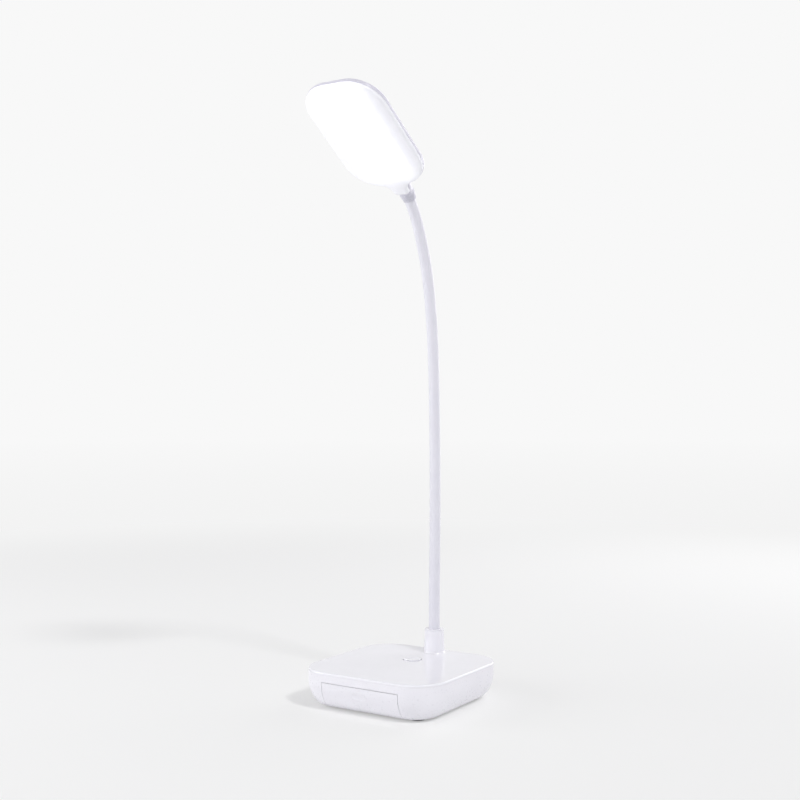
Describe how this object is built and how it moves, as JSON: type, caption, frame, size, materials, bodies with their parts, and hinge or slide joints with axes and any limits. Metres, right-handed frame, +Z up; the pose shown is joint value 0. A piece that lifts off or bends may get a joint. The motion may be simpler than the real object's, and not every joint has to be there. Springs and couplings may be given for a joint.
{
  "type": "desk lamp with drawer base",
  "caption": "Gooseneck LED desk lamp with a flat rounded head, a square bowl-shaped base with a small drawer, a push button and a charging port.",
  "frame": {"origin": "centre of the square base, on the desk surface that the rubber feet stand on", "axes": "+Z up, the drawer opens towards -Y, the gooseneck stands at the +Y edge, +X to the right seen from the drawer side"},
  "size_m": [0.12, 0.1553, 0.4642],
  "materials": {
    "white_abs": "smooth moulded ABS, glossy",
    "gloss_abs": "high-gloss moulded ABS",
    "head_abs": "smooth moulded ABS, glossy",
    "inner_abs": "matt moulded ABS",
    "tray_abs": "matt moulded ABS",
    "opal_cover": "opal PMMA, satin, lit from behind",
    "diffusing_film": "milky polycarbonate sheet",
    "foot_rubber": "moulded rubber",
    "sleeve_silicone": "satin silicone",
    "hose_steel": "wound steel hose",
    "zinc_screw": "zinc-plated steel",
    "ballast_steel": "plated sheet steel",
    "contact_metal": "nickel-plated spring steel",
    "socket_metal": "nickel-plated steel",
    "cell_sleeve": "shrink-sleeved cell",
    "board_laminate": "green solder mask",
    "lead_red": "red PVC insulation",
    "lead_black": "black PVC insulation",
    "component_black": "moulded epoxy",
    "board_aluminium": "white solder mask on aluminium",
    "led_package": "phosphor in a white package"
  },
  "bodies": {
    "base": {"base_lower_housing": "white_abs", "base_top_cover": "gloss_abs", "rubber_feet": "foot_rubber", "housing_screws": "zinc_screw", "drawer_bay_frame": "inner_abs", "ballast_plate": "ballast_steel", "battery_cell": "cell_sleeve", "battery_contacts": "contact_metal", "control_board": "board_laminate", "board_components": "component_black", "board_screws": "zinc_screw", "tact_switch": "component_black", "charging_socket": "socket_metal", "port_board": "board_laminate", "battery_lead_minus": "lead_black", "battery_lead_plus": "lead_red", "port_lead": "lead_black", "neck_collar": "gloss_abs", "collar_nut": "zinc_screw", "neck_sleeve_0": "sleeve_silicone", "neck_core_0": "hose_steel"},
    "button": {"switch_button": "gloss_abs", "switch_plunger": "component_black"},
    "drawer": {"drawer_tray": "tray_abs", "drawer_front": "white_abs"},
    "link_1": {"neck_sleeve_1": "sleeve_silicone", "neck_core_1": "hose_steel"},
    "link_2": {"neck_sleeve_2": "sleeve_silicone", "neck_core_2": "hose_steel"},
    "link_3": {"neck_sleeve_3": "sleeve_silicone", "neck_core_3": "hose_steel"},
    "link_4": {"neck_sleeve_4": "sleeve_silicone", "neck_core_4": "hose_steel"},
    "link_5": {"neck_sleeve_5": "sleeve_silicone", "neck_core_5": "hose_steel"},
    "link_6": {"neck_sleeve_6": "sleeve_silicone", "neck_core_6": "hose_steel"},
    "link_7": {"neck_sleeve_7": "sleeve_silicone", "neck_core_7": "hose_steel"},
    "link_8": {"neck_sleeve_8": "sleeve_silicone", "neck_core_8": "hose_steel"},
    "head": {"neck_sleeve_9": "sleeve_silicone", "neck_core_9": "hose_steel", "neck_ferrule": "white_abs", "head_rear_shell": "head_abs", "diffuser_cover": "opal_cover", "led_board": "board_aluminium", "led_chips": "led_package", "diffusing_sheet": "diffusing_film", "head_screws": "zinc_screw"}
  },
  "joints": [
    {"name": "drawer_slide", "type": "slide", "parent": "base", "child": "drawer", "axis": [0, -1, 0], "range_m": [0, 0.045]},
    {"name": "button_press", "type": "slide", "parent": "base", "child": "button", "axis": [0, 0, -1], "range_m": [0, 0.0005], "stiffness_N_per_m": 500, "springref_m": -0.0005},
    {"name": "neck_pitch_1", "type": "hinge", "parent": "base", "child": "link_1", "pos_m": [0, 0.049, 0.06947], "axis": [1, 0, 0], "range_deg": [-18, 18]},
    {"name": "neck_side_2", "type": "hinge", "parent": "link_1", "child": "link_2", "pos_m": [0, 0.04982, 0.10847], "axis": [0, 0.9998, -0.0209], "range_deg": [-18, 18]},
    {"name": "neck_pitch_3", "type": "hinge", "parent": "link_2", "child": "link_3", "pos_m": [0, 0.05029, 0.14746], "axis": [1, 0, 0], "range_deg": [-18, 18]},
    {"name": "neck_side_4", "type": "hinge", "parent": "link_3", "child": "link_4", "pos_m": [0, 0.05009, 0.18646], "axis": [0, 0.9999, 0.014], "range_deg": [-18, 18]},
    {"name": "neck_pitch_5", "type": "hinge", "parent": "link_4", "child": "link_5", "pos_m": [0, 0.04937, 0.22546], "axis": [1, 0, 0], "range_deg": [-18, 18]},
    {"name": "neck_side_6", "type": "hinge", "parent": "link_5", "child": "link_6", "pos_m": [0, 0.04781, 0.26443], "axis": [0, 0.9983, 0.0576], "range_deg": [-18, 18]},
    {"name": "neck_pitch_7", "type": "hinge", "parent": "link_6", "child": "link_7", "pos_m": [0, 0.04421, 0.30326], "axis": [1, 0, 0], "range_deg": [-18, 18]},
    {"name": "neck_side_8", "type": "hinge", "parent": "link_7", "child": "link_8", "pos_m": [0, 0.03657, 0.3415], "axis": [0, 0.9646, 0.2639], "range_deg": [-18, 18]},
    {"name": "neck_pitch_9", "type": "hinge", "parent": "link_8", "child": "head", "pos_m": [0, 0.02208, 0.37771], "axis": [1, 0, 0], "range_deg": [-18, 18]}
  ],
  "couplings": [
    {"joint": "neck_pitch_3", "follows": "neck_pitch_1", "ratio": 1},
    {"joint": "neck_side_4", "follows": "neck_side_2", "ratio": 1},
    {"joint": "neck_side_6", "follows": "neck_side_2", "ratio": 1},
    {"joint": "neck_pitch_7", "follows": "neck_pitch_5", "ratio": 1},
    {"joint": "neck_side_8", "follows": "neck_side_2", "ratio": 1},
    {"joint": "neck_pitch_9", "follows": "neck_pitch_5", "ratio": 1}
  ]
}
